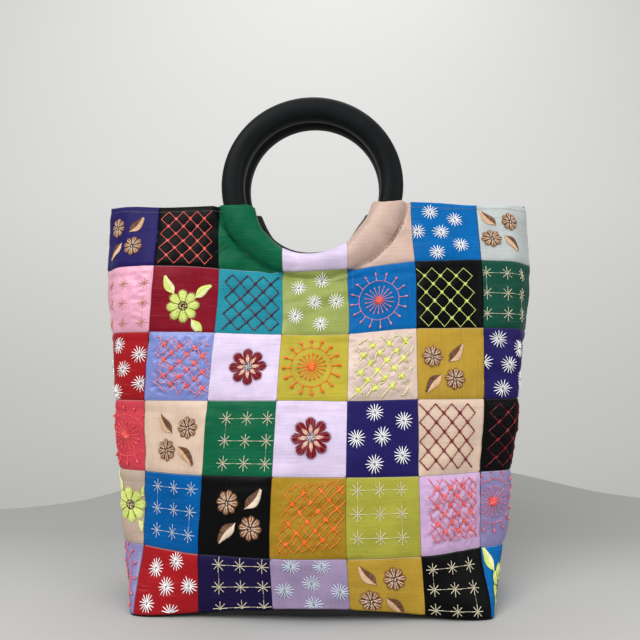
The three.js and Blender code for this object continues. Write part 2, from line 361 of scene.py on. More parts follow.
# Where a motif sits off its patch's middle, in millimetres, by (column, row)
SHIFTS = {
    (0, 0): (-1.0, 0.0), (1, 0): (-1.5, -1.5), (5, 0): (-3.5, -1.0), (6, 0): (-9.0, 2.5),
    (0, 1): (5.0, -4.0), (1, 1): (-0.5, -6.5), (2, 1): (1.5, -1.0), (3, 1): (-2.0, 0.5),
    (4, 1): (-3.0, -2.5), (5, 1): (-3.0, -3.0), (6, 1): (-8.5, 0.0), (0, 2): (9.5, -2.5),
    (1, 2): (5.0, -0.5), (2, 2): (2.5, -0.5), (3, 2): (-1.5, -0.5), (4, 2): (-0.5, -1.4),
    (5, 2): (-6.0, -3.0), (6, 2): (-8.5, -0.5), (0, 3): (12.5, -0.5), (1, 3): (4.0, -1.0),
    (2, 3): (5.5, -2.5), (3, 3): (0.5, 0.0), (4, 3): (1.0, 0.5), (5, 3): (-3.7, 0.3),
    (0, 4): (15.0, 1.0), (1, 4): (3.0, 1.0), (2, 4): (4.5, 1.5), (3, 4): (3.6, 1.0),
    (4, 4): (-3.0, 2.5), (5, 4): (1.2, 3.0), (6, 4): (-17.5, 5.5), (0, 5): (2.5, 6.0),
    (1, 5): (1.0, 4.5), (2, 5): (5.5, 5.5), (3, 5): (1.5, 8.5), (4, 5): (-3.5, 5.0),
    (5, 5): (-3.5, 5.0), (6, 5): (-8.5, 2.5),
}
# Daisies stand in six places on a patch, in millimetres from its middle. One patch has its own.
DAISY_SPOTS = ((-8, 19), (11, 12), (-19.5, 1), (-1, 0), (14.5, -12), (-6, -19))
OWN_DAISY_SPOTS = {
    (3, 5): ((-13.5, 15), (8, 15), (0, 0), (-20, -5.5), (20, -6), (0.5, -17)),
    (4, 3): ((-7.2, 17.6), (14.7, 11.6), (-21.3, -0.4), (-1.4, 0.6), (13.3, -13.2), (-7.6, -18.5)),
}
# Low patches turn away under the bag, and their motifs stand closer from top to bottom
SQUEEZED = {(5, 5): 0.82, (1, 5): 0.88}
FAINT_LATTICES = {"periwinkle": 0.12, "blush": 0.15}
# The share of a second, finer trellis between the first one's lines that has sunk from sight
DENSE_LATTICES = {"ochre": 0.2, "lilac": 0.25, "periwinkle": 0.55}
# How the cloth has pulled its trellis, by cloth or (column, row): the columns' lean, the rows'
# rise, and the width and height as shares
LATTICE_SLANTS = {
    "periwinkle": (-0.09, -0.12, 1.0, 0.92), "blush": (0.14, 0.08, 0.99, 1.0),
    "ochre": (0.16, 0.12, 1.0, 0.97), "lilac": (0.0, 0.0, 0.91, 0.90),
    (5, 1): (-0.07, -0.03, 0.99, 0.99),
}
# Where tight stitching hides the thread's shine, its lines show in a softer shade than its knots
SOFT_LINES = {"periwinkle": "blossom", "blush": "pale_lime", "ochre": "rust", "lilac": "rosy"}
PALE_WHEELS = {"azure": "blossom", "slate": "rosy", "navy": "blossom"}


def slant(column, row):
    by_cloth = LATTICE_SLANTS.get(patch_words(column, row)[0], (0, 0, 1, 1))
    return LATTICE_SLANTS.get((column, row), by_cloth)


def patch_words(column, row):
    words = (FRONT if column < HALF_COLUMNS else BACK)[row][column % HALF_COLUMNS].split()
    return words + ["none"] * (3 - len(words))


def motif_shift(column, row):
    """How far a motif sits off its patch's middle, in millimetres. The last row's patches are short."""
    return SHIFTS.get((column, row), (0.0, 6.0 if row == ROWS - 1 else 0.0))


def crinkled(a, v):
    """Where tight stitching crinkles the cloth, 0 to 1, fading out towards the patch's edges."""
    table = np.zeros((COLUMNS, ROWS))
    for column in range(COLUMNS):
        for row in range(ROWS):
            table[column, row] = CRINKLED.get(patch_words(column, row)[0], 0)
    column = np.clip(np.floor(np.mod(a, COLUMNS)).astype(int), 0, COLUMNS - 1)
    row = np.clip(np.floor(v).astype(int), 0, ROWS - 1)
    edge = np.minimum(np.abs(a - np.round(a)), np.abs(v - np.round(v)))
    return table[column, row] * ease(edge, 0.02, 0.14)


class Cloth:
    """The outer face of the patchwork as one grid of points round the bag."""

    def __init__(self):
        self.a = np.linspace(0, COLUMNS, COLUMNS * FINE + 1)
        self.v = np.concatenate((
            np.linspace(0, WHOLE_ROWS, WHOLE_ROWS * FINE + 1),
            WHOLE_ROWS + LAST_ROW * np.arange(1, FINE_LAST + 1) / FINE_LAST,
        ))
        a, v = np.meshgrid(self.a, self.v)
        self.form = self.make_form(a, v)
        self.normal = self.make_normals(self.form)
        stand = relief(a, v) * (1 - self.tightness)
        stand[0] *= 0.3
        self.points = self.form + self.normal * stand[..., None]
        self.points[..., 2] = np.maximum(self.points[..., 2], LIP_CORNER / 2)
        self.tilt = self.make_normals(self.points)

    def make_form(self, a, v):
        u, half = front_or_back(a)
        u = u + drift(u, v, half)
        z = seam_height(u, v, half)
        x, y = (part.reshape(a.shape) for part in wall_point(u.ravel(), z.ravel()))
        top = np.where(half < 0, scoop_line(x, -1), scoop_line(x, 1))
        first = seam_height(u, np.ones_like(v), half)
        in_scoop = 1 - ease(np.abs(x), 52 * MM, 66 * MM)
        down = np.clip(v, 0, 1)
        down = down * (1 - in_scoop) + down**1.7 * in_scoop
        z = np.where(v < 1, top + (first - top) * down, z)
        x, y = (part.reshape(a.shape) for part in wall_point(u.ravel(), z.ravel()))
        ring_z = np.where(half < 0, RING_HEIGHT[-1], RING_HEIGHT[1])
        from_ring = x - np.where(half < 0, RING_SHIFT[-1], RING_SHIFT[1])
        out = np.hypot(from_ring, z - ring_z)
        room = np.where(half < 0, casing_room(from_ring, -1), casing_room(from_ring, 1))
        reach = np.where(out < RING_RADIUS, room, CASING_OUTER)
        tube = RING_PLANE + CASING_DEPTH * np.sqrt(np.maximum(1 - ((out - RING_RADIUS) / reach) ** 2, 0))
        depth = np.abs(y)
        high_up = z > 0.7 * RIM_HEIGHT
        hugging = (out < RING_RADIUS + CASING_OUTER) & high_up
        outer_side = soft_max(depth, np.where(hugging, tube, 0), 2.0 * MM)
        depth = np.where(hugging, np.where(out < RING_RADIUS, tube, outer_side), depth)
        from_line = out - STITCH_RING
        crease = np.exp(-((from_line / (2.0 * MM)) ** 2)) * high_up
        swing = np.arctan2(from_ring, ring_z - z) * RING_RADIUS
        pull = cloth_noise(swing / 0.0095, out / 0.035, 41) * np.exp(-((from_line / (9 * MM)) ** 2))
        depth = depth - 2.9 * MM * crease + 1.5 * MM * pull * high_up
        self.crease = np.where(high_up, np.abs(from_line) / MM + 0.12, FAR)
        self.tightness = ease(STITCH_RING - out, -4 * MM, 10 * MM) * high_up * 0.45
        x = x + lean(z) * ease(out, 1.3 * RING_RADIUS, 1.8 * RING_RADIUS)
        return np.stack((x, half * depth, z), axis=-1)

    def make_normals(self, points):
        round_bag = np.concatenate((points[:, -2:-1], points, points[:, 1:2]), axis=1)
        along = round_bag[:, 2:] - round_bag[:, :-2]
        down = np.gradient(points, axis=0)
        normal = np.cross(down, along)
        return normal / np.linalg.norm(normal, axis=-1, keepdims=True)

    def at(self, a, v):
        """Points and normals of the cloth at places given in patches."""
        a = np.mod(np.asarray(a, float), COLUMNS) * FINE
        v = np.asarray(v, float)
        low = WHOLE_ROWS * FINE + (v - WHOLE_ROWS) / LAST_ROW * FINE_LAST
        v = np.clip(np.where(v <= WHOLE_ROWS, v * FINE, low), 0, len(self.v) - 1.001)
        i = np.floor(v).astype(int)
        j = np.clip(np.floor(a).astype(int), 0, len(self.a) - 2)
        fv, fa = (v - i)[:, None], (a - j)[:, None]
        result = []
        for grid in (self.points, self.tilt):
            top = grid[i, j] * (1 - fa) + grid[i, j + 1] * fa
            low = grid[i + 1, j] * (1 - fa) + grid[i + 1, j + 1] * fa
            result.append(top * (1 - fv) + low * fv)
        return result[0], result[1] / np.linalg.norm(result[1], axis=1, keepdims=True)


# Materials

def srgb(red, green, blue):
    shares = (red / 255, green / 255, blue / 255)
    linear = [c / 12.92 if c <= 0.04045 else ((c + 0.055) / 1.055) ** 2.4 for c in shares]
    return (*linear, 1.0)


SILKS = {
    "navy": srgb(36, 29, 90), "indigo": srgb(27, 20, 60), "black": srgb(9, 9, 10),
    "emerald": srgb(14, 94, 62),
    "forest": srgb(18, 74, 58), "lavender": srgb(214, 198, 226), "mauve": srgb(154, 136, 170),
    "lilac": srgb(196, 162, 202), "peach": srgb(198, 170, 155), "cream": srgb(216, 190, 168),
    "beige": srgb(186, 164, 146), "blush": srgb(208, 184, 170), "azure": srgb(6, 98, 166),
    "cobalt": srgb(0, 88, 156), "grey": srgb(180, 186, 184), "pink": srgb(230, 164, 188),
    "maroon": srgb(128, 18, 36), "teal": srgb(34, 136, 154), "pear": srgb(146, 158, 78),
    "red": srgb(160, 26, 32), "periwinkle": srgb(120, 134, 200), "chartreuse": srgb(182, 168, 58),
    "mustard": srgb(178, 144, 52), "rose": srgb(202, 66, 80), "slate": srgb(128, 120, 168),
    "ochre": srgb(160, 126, 34), "olive": srgb(164, 162, 62),
}
THREADS = {
    "white": srgb(254, 254, 255), "cream": srgb(226, 216, 186), "silver": srgb(202, 214, 226),
    "tan": srgb(204, 150, 120), "coral": srgb(240, 92, 84), "orange": srgb(242, 112, 34),
    "lime": srgb(212, 226, 116), "yellow": srgb(226, 236, 82), "crimson": srgb(124, 6, 28),
    "plum": srgb(74, 18, 52), "umber": srgb(72, 36, 20), "hazel": srgb(108, 68, 42),
    "blossom": srgb(216, 136, 160), "rosy": srgb(226, 104, 116), "rust": srgb(228, 128, 50),
    "flame": srgb(240, 206, 180), "pine": srgb(8, 56, 38),
    "ivory": srgb(232, 212, 190), "smoke": srgb(120, 112, 108),
    "ash": srgb(150, 150, 154), "chestnut": srgb(134, 92, 58), "buff": srgb(216, 178, 142),
    "moss": srgb(112, 128, 40), "pale_lime": srgb(226, 228, 168),
}

# A noise that isn't stretched along any axis
EVEN = (1.0, 1.0, 1.0)


def new_material(name):
    material = bpy.data.materials.new(name)
    material.use_nodes = True
    tree = material.node_tree
    return material, tree, tree.nodes["Principled BSDF"]


def node(tree, kind, **settings):
    made = tree.nodes.new(kind)
    for key, value in settings.items():
        setattr(made, key, value)
    return made


def fill(tree, made, values):
    """Gives a node's inputs plain values, or links where a value is another node's output."""
    for name, value in values.items():
        if hasattr(value, "is_output"):
            tree.links.new(value, made.inputs[name])
        else:
            made.inputs[name].default_value = value


def attribute(tree, name):
    return node(tree, "ShaderNodeAttribute", attribute_name=name).outputs["Fac"]


def bumped(tree, height, strength, distance, under=None):
    """A surface with fine relief, laid over another such surface where that is given."""
    bump = node(tree, "ShaderNodeBump")
    fill(tree, bump, {"Strength": strength, "Distance": distance, "Height": height})
    if under is not None:
        tree.links.new(under, bump.inputs["Normal"])
    return bump.outputs["Normal"]


def greys(*stops):
    """The stops of a ramp in plain greys, each a place and how light it is there."""
    return tuple((place, (level, level, level, 1)) for place, level in stops)


def scaled_noise(tree, source, scale, size, detail=3.0):
    mapping = node(tree, "ShaderNodeMapping")
    fill(tree, mapping, {"Scale": scale, "Vector": source})
    noise = node(tree, "ShaderNodeTexNoise")
    fill(tree, noise, {"Scale": size, "Detail": detail, "Vector": mapping.outputs["Vector"]})
    return noise.outputs["Fac"]


def ramp(tree, source, stops):
    made = node(tree, "ShaderNodeValToRGB")
    elements = made.color_ramp.elements
    while len(elements) < len(stops):
        elements.new(0.5)
    for element, (place, colour) in zip(elements, stops):
        element.position = place
        element.color = colour
    tree.links.new(source, made.inputs["Fac"])
    return made.outputs["Color"]


def shade(colour, factor):
    return tuple(min(c * factor, 1.0) for c in colour[:3]) + (1.0,)


def paler(colour, share):
    return tuple(c + (0.8 - c) * share for c in colour[:3]) + (1.0,)


def mixed(tree, factor, first, second, blend="MIX"):
    """Two colours mixed. A colour mix has its colours at inputs 6 and 7, and its result at output 2."""
    mix = node(tree, "ShaderNodeMix", data_type="RGBA", blend_type=blend)
    fill(tree, mix, {"Factor": factor, 6: first, 7: second})
    return mix.outputs[2]


def times(tree, first, second):
    return mixed(tree, 1.0, first, second, "MULTIPLY")


def silk(name, colour):
    """Slubbed satin silk: a few darker threads along the weft, a painted highlight along the top edge of
    each lower patch, and painted shade in the seams and along the casing's crease.
    """
    material, tree, shader = new_material(f"silk_{name}")
    uv = node(tree, "ShaderNodeUVMap", uv_map="weave").outputs["UV"]
    slubs = scaled_noise(tree, uv, (1.0, 30.0, 1.0), 36.0, 6.0)
    warp = scaled_noise(tree, uv, (9.0, 1.0, 1.0), 130.0, 2.0)
    clouds = scaled_noise(tree, uv, EVEN, 36.0, 3.0)
    light = luminance(colour)
    deep = min(colour[:3]) < 0.06
    glow = 0.005 if light < 0.05 else 0.06
    dark = 0.90 if name in CRINKLED else 0.80
    stops = (
        (0.28, shade(colour, dark)), (0.46, shade(colour, 0.97)), (0.60, colour),
        (0.74, paler(colour, glow)),
    )
    bars = ramp(tree, slubs, stops)
    threads = ramp(tree, warp, greys((0.35, 0.94), (0.65, 1)))
    cloudy = ramp(tree, clouds, ((0.36, (0.86, 0.86, 0.88, 1)), (0.62, (1, 1, 1, 1))))
    cloth = times(tree, times(tree, bars, threads), cloudy)
    # Painted highlight: a pale line along the top edge of each patch below the first row, where light
    # would catch the seam's pressed fold.
    seam_edge_highlight = ramp(tree, attribute(tree, "from_top"), greys((0.0, 0.8), (0.5, 0.5), (0.9, 0)))
    pale = mixed(tree, seam_edge_highlight, cloth, paler(colour, 0.06 if light < 0.03 else 0.35))
    # Painted shade: the colour darkens to a third of itself in the seams between patches and along the
    # casing's stitched crease.
    painted_seam_shade = ramp(tree, attribute(tree, "from_seam"), greys((0.0, 1), (0.40, 0)))
    fill(tree, shader, {
        "Base Color": mixed(tree, painted_seam_shade, pale, shade(colour, 0.30)),
        "Roughness": ramp(tree, slubs, greys((0.3, 0.46), (0.7, 0.36))),
        "Specular IOR Level": 0.05 if deep else (0.5 if name in CRINKLED else 0.28),
        "Sheen Weight": 0.01 if deep else 0.10,
        "Sheen Roughness": 0.4,
        "Sheen Tint": paler(colour, 0.3),
        "Normal": bumped(tree, warp, 0.12, 0.0004, bumped(tree, slubs, 0.32, 0.0005)),
    })
    return material


def luminance(colour):
    return 0.21 * colour[0] + 0.72 * colour[1] + 0.07 * colour[2]


def thread(name, colour):
    """Rayon embroidery thread: a bright satin ply whose shade shifts from stitch to stitch."""
    material, tree, shader = new_material(f"thread_{name}")
    stops = ((0.0, shade(colour, 0.84)), (0.5, colour), (1.0, paler(colour, 0.10)))
    place = node(tree, "ShaderNodeTexCoord").outputs["Object"]
    ply = scaled_noise(tree, place, EVEN, 2600.0, 1.0)
    fill(tree, shader, {
        "Base Color": ramp(tree, attribute(tree, "tone"), stops),
        "Roughness": 0.34,
        "Specular IOR Level": 0.14 if min(colour[:3]) < 0.05 else 0.35,
        "Sheen Weight": 0.04,
        "Sheen Roughness": 0.3,
        "Normal": bumped(tree, ply, 0.2, 0.0002),
    })
    return material


def black_cloth():
    """Plain black cotton with a soft nap, for the base and the casings' facings."""
    material, tree, shader = new_material("black_cotton")
    place = node(tree, "ShaderNodeTexCoord").outputs["Object"]
    weave = scaled_noise(tree, place, EVEN, 900.0, 2.0)
    dust = scaled_noise(tree, place, EVEN, 40.0, 3.0)
    stops = ((0.3, (0.006, 0.006, 0.007, 1)), (0.75, (0.013, 0.013, 0.014, 1)))
    fill(tree, shader, {
        "Base Color": ramp(tree, dust, stops), "Roughness": 0.85, "Sheen Weight": 0.04,
        "Specular IOR Level": 0.15, "Normal": bumped(tree, weave, 0.4, 0.0004),
    })
    return material


def lining_cloth():
    material, tree, shader = new_material("dark_lining")
    place = node(tree, "ShaderNodeTexCoord").outputs["Object"]
    weave = scaled_noise(tree, place, (1.0, 1.0, 4.0), 420.0, 2.0)
    stops = ((0.3, (0.016, 0.015, 0.018, 1)), (0.7, (0.032, 0.030, 0.036, 1)))
    fill(tree, shader, {
        "Base Color": ramp(tree, weave, stops), "Roughness": 0.7,
        "Normal": bumped(tree, weave, 0.25, 0.0003),
    })
    return material


def ring_lacquer():
    """Satin black lacquer over turned wood, with faint wear and fingermarks in its gloss."""
    material, tree, shader = new_material("ring_lacquer")
    place = node(tree, "ShaderNodeTexCoord").outputs["Object"]
    marks = scaled_noise(tree, place, EVEN, 55.0, 4.0)
    grain = scaled_noise(tree, place, EVEN, 700.0, 2.0)
    stops = ((0.3, (0.0062, 0.0074, 0.0080, 1)), (0.7, (0.0086, 0.0102, 0.0108, 1)))
    fill(tree, shader, {
        "Base Color": ramp(tree, marks, stops),
        "Roughness": ramp(tree, marks, greys((0.3, 0.38), (0.7, 0.46))),
        "Specular IOR Level": 0.05,
        "Normal": bumped(tree, grain, 0.06, 0.0003),
    })
    return material


# Meshes

def into_scene(name, data):
    made = bpy.data.objects.new(name, data)
    bpy.context.scene.collection.objects.link(made)
    return made


def new_piece(name, points, faces, materials, replaces=()):
    mesh = bpy.data.meshes.new(name)
    mesh.from_pydata([tuple(p) for p in points], [], faces)
    mesh.update()
    piece = into_scene(name, mesh)
    for material in materials:
        mesh.materials.append(material)
    mesh.polygons.foreach_set("use_smooth", [True] * len(mesh.polygons))
    finish_piece(piece, replaces)
    return piece


def finish_piece(piece, replaces):
    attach(piece, "root")
    if replaces:
        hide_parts(*replaces)


def zip_faces(left, right):
    """Triangles between two chains of vertices that run side by side."""
    faces = []
    i = j = 0
    while i < len(left) - 1 or j < len(right) - 1:
        ahead = (i + 1) / (len(left) - 1) if i < len(left) - 1 else 2
        behind = (j + 1) / (len(right) - 1) if j < len(right) - 1 else 2
        if ahead <= behind:
            faces.append((left[i], left[i + 1], right[j]))
            i += 1
        else:
            faces.append((left[i], right[j + 1], right[j]))
            j += 1
    return faces


def cloth_panel(name, cloth, start, end, silks, lining, replaces):
    """A closed piece of the patchwork between two column seams: face, hem fold and lining."""
    lines = np.arange(round(start * FINE), round(end * FINE) + 1)
    columns = np.mod(lines, COLUMNS * FINE)
    outer = cloth.points[:, columns]
    form = cloth.form[:, columns]
    normal = cloth.normal[:, columns]
    upper = np.arange(0, round(1.6 * FINE), 2)
    picks = np.concatenate((upper, np.linspace(1.6 * FINE, len(cloth.v) - 1, 20).round().astype(int)))
    thickness = WALL + 1.3 * MM * ease(cloth.v[picks], 0.02, 0.3)
    inner = form[picks] - normal[picks] * thickness[:, None, None]
    count = len(lines)
    rise = outer[0] - outer[1]
    rise /= np.maximum(np.linalg.norm(rise, axis=1, keepdims=True), 1e-9)
    fold = []
    for s in (0.25, 0.5, 0.75):
        fold.append((outer[0] * (1 - s) + inner[0] * s) + rise * WALL * 0.55 * math.sin(math.pi * s))
    points = np.concatenate((outer.reshape(-1, 3), np.array(fold).reshape(-1, 3), inner.reshape(-1, 3)))
    rows_out, rows_in = len(outer), len(inner)

    def vertex(row, c):
        return row * count + c

    chain = list(range(rows_out - 1, -1, -1)) + [rows_out + k for k in range(3)]
    chain += [rows_out + 3 + k for k in range(rows_in)]
    faces, marks = [], []
    names = list(silks)
    for k in range(len(chain)):
        r, s = chain[k], chain[(k + 1) % len(chain)]
        is_face = k < rows_out - 1
        is_fold = rows_out - 1 <= k < rows_out + 3
        middle_v = cloth.v[min(r, s)] + 1e-6 if is_face else 0.0
        for c in range(count - 1):
            faces.append((vertex(r, c), vertex(r, c + 1), vertex(s, c + 1), vertex(s, c)))
            if is_face or is_fold:
                column = int(columns[c] // FINE) % COLUMNS
                marks.append(names.index(patch_words(column, min(int(middle_v), ROWS - 1))[0]))
            else:
                marks.append(len(names))
    face_chain = chain[:rows_out]
    lining_chain = [chain[0]] + chain[:rows_out - 1:-1]
    for c, flip in ((0, False), (count - 1, True)):
        strip = zip_faces([vertex(r, c) for r in face_chain], [vertex(r, c) for r in lining_chain])
        faces.extend(tuple(reversed(face)) if flip else face for face in strip)
        marks.extend([len(names)] * len(strip))
    piece = new_piece(name, points, faces, [*silks.values(), lining], replaces)
    mesh = piece.data
    mesh.polygons.foreach_set("material_index", marks)
    add_cloth_maps(mesh, cloth, lines, rows_out, count)
    return piece


def add_cloth_maps(mesh, cloth, lines, rows_out, count):
    """The weave's own map in metres, turned on every other patch, and distances from the seams."""
    across = np.tile(lines / FINE, rows_out)
    down = np.repeat(cloth.v, count)
    total = len(mesh.vertices)
    place = np.zeros((total, 2))
    outside = rows_out * count
    place[:outside, 0] = across
    place[:outside, 1] = down
    place[outside:, 0] = np.resize(lines / FINE, total - outside)
    place[outside:, 1] = 0.3
    top = np.mod(place[:, 1] + 1e-5, 1) * PATCH / MM
    top[place[:, 1] < 0.9] = FAR
    side = np.abs(place[:, 0] - np.round(place[:, 0])) * PATCH / MM
    rows = np.abs(place[:, 1] - np.round(place[:, 1])) * PATCH / MM
    rows[place[:, 1] < 0.5] = FAR
    seams = np.minimum(side, rows)
    crease = cloth.crease[:, np.mod(lines, COLUMNS * FINE)].ravel()
    seams[:len(crease)] = np.minimum(seams[:len(crease)], crease)
    for name, values in (("from_top", top), ("from_seam", seams)):
        layer = mesh.attributes.new(name, "FLOAT", "POINT")
        layer.data.foreach_set("value", values)
    layer = mesh.uv_layers.new(name="weave")
    corners = np.zeros(len(mesh.loops), int)
    mesh.loops.foreach_get("vertex_index", corners)
    totals = np.zeros(len(mesh.polygons), int)
    mesh.polygons.foreach_get("loop_total", totals)
    owner = np.repeat(np.arange(len(mesh.polygons)), totals)
    sums = np.zeros((len(mesh.polygons), 2))
    np.add.at(sums, owner, place[corners])
    centre = np.floor(sums / totals[:, None])[owner]
    uv = place[corners] * PATCH + centre * 0.37
    spots = np.zeros(len(mesh.vertices) * 3)
    mesh.vertices.foreach_get("co", spots)
    level = spots.reshape(-1, 3)[corners][:, (0, 2)]
    column = np.mod(centre[:, 0], HALF_COLUMNS)
    on_casing = (centre[:, 1] == 0) & (column > 1.5) & (column < 4.5)
    uv[on_casing] = level[on_casing] + centre[on_casing] * 0.37
    turned = np.mod(centre[:, 0] * 2 + centre[:, 1] * 3, 5) == 1
    uv[turned & ~on_casing] = uv[turned & ~on_casing][:, ::-1]
    layer.data.foreach_set("uv", uv.ravel())


def tube_strip(name, ring_z, side, start, end, snug, thick, material):
    """The casing's facing: a cloth strip bent round the back of a ring's lower arc."""
    steps, turns = 120, 14
    ends = []
    for x in (-50 * MM, 50 * MM):
        room = float(casing_room(x, side))
        ends.append(math.copysign(math.acos((ring_z - RIM_HEIGHT - 0.5 * MM) / (RING_RADIUS - room)), x))
    points, faces = [], []
    for layer in (0, 1):
        for i in range(steps + 1):
            swing = ends[0] + (ends[1] - ends[0]) * i / steps
            room = RING_TUBE
            for _ in range(4):
                room = float(casing_room((RING_RADIUS - room) * math.sin(swing), side))
            radius = room + snug
            for j in range(turns + 1):
                turn = start + (end - start) * j / turns
                out = RING_RADIUS - (radius - layer * thick) * math.cos(turn)
                depth = RING_PLANE - (radius - layer * thick) * math.sin(turn)
                x = RING_SHIFT[side] + out * math.sin(swing)
                points.append((x, side * depth, ring_z - out * math.cos(swing)))
    row = turns + 1
    layer_size = row * (steps + 1)
    for i in range(steps):
        for j in range(turns):
            a, b = i * row + j, (i + 1) * row + j
            c, d = b + 1, a + 1
            faces.append((a, b, c, d))
            faces.append(tuple(layer_size + k for k in (d, c, b, a)))
        for j in (0, turns):
            a, b = i * row + j, (i + 1) * row + j
            quad = (a, a + layer_size, b + layer_size, b)
            faces.append(quad if j == 0 else quad[::-1])
    for i in (0, steps):
        for j in range(turns):
            a, b = i * row + j, i * row + j + 1
            quad = (a, b, b + layer_size, a + layer_size)
            faces.append(quad if i == 0 else quad[::-1])
    if side < 0:
        faces = [face[::-1] for face in faces]
    return new_piece(name, points, faces, [material])


def ring_piece(name, ring_z, side, material):
    """One turned ring, its faces a touch flatter than its rounded edges. It is slimmer in its casing."""
    steps, sides = 144, 40
    points = []
    for i in range(steps):
        swing = 2 * math.pi * i / steps
        low = -math.sin(swing)
        slim = RING_TUBE * (1 - 0.08 * float(ease(low, 0.36, 0.55)) - 0.25 * float(ease(low, 0.62, 0.9)))
        for j in range(sides):
            turn = 2 * math.pi * j / sides
            across = slim * math.copysign(abs(math.cos(turn)) ** 0.82, math.cos(turn))
            depth = slim * 0.96 * math.copysign(abs(math.sin(turn)) ** 0.78, math.sin(turn))
            out = RING_RADIUS + across
            x = RING_SHIFT[side] + out * math.cos(swing)
            points.append((x, side * RING_PLANE + depth, ring_z + out * math.sin(swing)))
    faces = []
    for i in range(steps):
        for j in range(sides):
            k, m = (i + 1) % steps, (j + 1) % sides
            faces.append((i * sides + j, i * sides + m, k * sides + m, k * sides + j))
    node_name = "handle_front" if side < 0 else "handle_back"
    return new_piece(name, points, faces, [material], (node_name,))


def base_piece(cloth, material):
    """The black base: flat where it stands, rolled up to the patches' lower edge all round."""
    edge_line = cloth.form[-1, :-1:4]
    shares = (0.0, 0.3, 0.55, 0.68, 0.74, 0.80, 0.86, 0.91, 0.95, 0.98, 1.0)
    flat, thick = 0.70, 2.2 * MM
    count = len(edge_line)
    points = []
    for layer in (0, 1):
        for share in shares:
            rise = max(share - flat, 0) / (1 - flat)
            wave = 0.4 * MM * cloth_noise(np.arange(count) / 9.0, np.full(count, share * 3), 31)
            height = (edge_line[:, 2] + 0.6 * MM - thick) * rise**2 + layer * thick
            height = height + wave * rise * (layer == 0)
            x, y = edge_line[:, :2].T * (share * (1 - 0.006 * layer))
            points.extend(zip(x, y, np.maximum(height, 0)))
    rings = len(shares)

    def vertex(layer, k, i):
        return (layer * rings + k) * count + i % count

    faces = []
    for i in range(count):
        for k in range(1, rings - 1):
            low = (vertex(0, k, i), vertex(0, k, i + 1), vertex(0, k + 1, i + 1), vertex(0, k + 1, i))
            high = (vertex(1, k, i), vertex(1, k + 1, i), vertex(1, k + 1, i + 1), vertex(1, k, i + 1))
            faces.extend((low[::-1], high[::-1]))
        k = rings - 1
        faces.append((vertex(0, k, i), vertex(0, k, i + 1), vertex(1, k, i + 1), vertex(1, k, i)))
    faces.append(tuple(vertex(0, 1, i) for i in range(count))[::-1])
    faces.append(tuple(vertex(1, 1, i) for i in range(count)))
    used = sorted({v for face in faces for v in face})
    order = {v: i for i, v in enumerate(used)}
    points = [points[v] for v in used]
    faces = [tuple(order[v] for v in face) for face in faces]
    return new_piece("base_cover", points, faces, [material], ("base_panel",))


# Embroidery. Motifs are drawn as straight stitches in millimetres from a patch's middle,
# x to the right and y up, and then laid on the cloth.

def clipped(start, end, low, high):
    """The part of a line that lies inside a box, or nothing."""
    first, last = 0.0, 1.0
    for a, b, lo, hi in zip(start, end, low, high):
        if a == b:
            if not lo < a < hi:
                return None
            continue
        near, far = sorted(((lo - a) / (b - a), (hi - a) / (b - a)))
        first, last = max(first, near), min(last, far)
    if last - first < 0.2:
        return None
    return [between(start, end, first), between(start, end, last)]


class Embroidery:
    """Collects the stitches of each thread colour, as places on the cloth counted in patches."""

    def __init__(self, cloth):
        self.cloth = cloth
        self.stitches = {}
        self.rng = np.random.default_rng(11)

    def begin(self, column, row, mirrored, shift):
        self.column, self.row = column, row
        self.flip = -1 if mirrored else 1
        self.shift = shift
        self.loose = CRINKLED.get(patch_words(column, row)[0], 0)
        self.squeeze = SQUEEZED.get((column, row), 1.0)

    def stitch(self, colour, start, end, width=0.55, lift=0.0):
        places = []
        for x, y in (start, end):
            across = 0.5 + (self.flip * x + self.shift[0]) / PATCH_MM
            down = 0.5 - (self.squeeze * y + self.shift[1]) / PATCH_MM
            places.append((across, down))
        low = (0.012, 0.03 if self.row == 0 else 0.012)
        high = (0.988, LAST_ROW - 0.02 if self.row == ROWS - 1 else 0.988)
        places = clipped(*places, low, high)
        if places is None:
            return
        start, end = ((self.column + across, self.row + down) for across, down in places)
        self.free_stitch(colour, start, end, width, lift)

    def free_stitch(self, colour, start, end, width, lift=0.0):
        """A stitch across the cloth at large, between two places counted in patches."""
        self.stitches.setdefault(colour, []).append((*start, *end, width, lift))

    def jitter(self, amount):
        return self.rng.normal(0, amount)


def polar(radius, angle, centre=(0.0, 0.0)):
    return centre[0] + radius * math.cos(angle), centre[1] + radius * math.sin(angle)


def between(start, end, share):
    return start[0] + (end[0] - start[0]) * share, start[1] + (end[1] - start[1]) * share


def run_of_stitches(work, colour, start, end, length, width):
    """Backstitches from start to end, each a little short so that the gaps show."""
    distance = math.dist(start, end)
    count = max(1, round(distance / length))
    for i in range(count):
        first, last = (between(start, end, (i + share) / count) for share in (0.03, 0.99))
        work.stitch(colour, first, last, width)


def knots(work, colours, centre, radius, count, size=0.95):
    """A cluster of knots round a flower's middle."""
    for i in range(count):
        spot = polar(radius * math.sqrt((i + 0.5) / count), i * 2.4, centre)
        angle = work.rng.uniform(0, math.pi)
        reach = 0.45 * size
        start, end = polar(reach, angle, spot), polar(-reach, angle, spot)
        work.stitch(colours[i % len(colours)], start, end, size, 0.35)


def daisy(work, colour, centre, radius=6.0, rays=15):
    first = work.rng.uniform(0, 1)
    for i in range(rays):
        angle = 2 * math.pi * (i + first) / rays + work.jitter(0.025)
        reach = radius * (1 + work.jitter(0.05))
        work.stitch(colour, polar(1.5, angle, centre), polar(reach, angle, centre), 0.75, 0.06)
    # Grey knots at the middle: real knots, in a grey that also paints the shade in the daisy's heart.
    knots(work, ("ash",), centre, 1.0, 3, 0.85)


def daisies(work, colour):
    spots = OWN_DAISY_SPOTS.get((work.column, work.row), DAISY_SPOTS)
    for x, y in spots:
        daisy(work, colour, (x + work.jitter(0.3), y + work.jitter(0.3)))


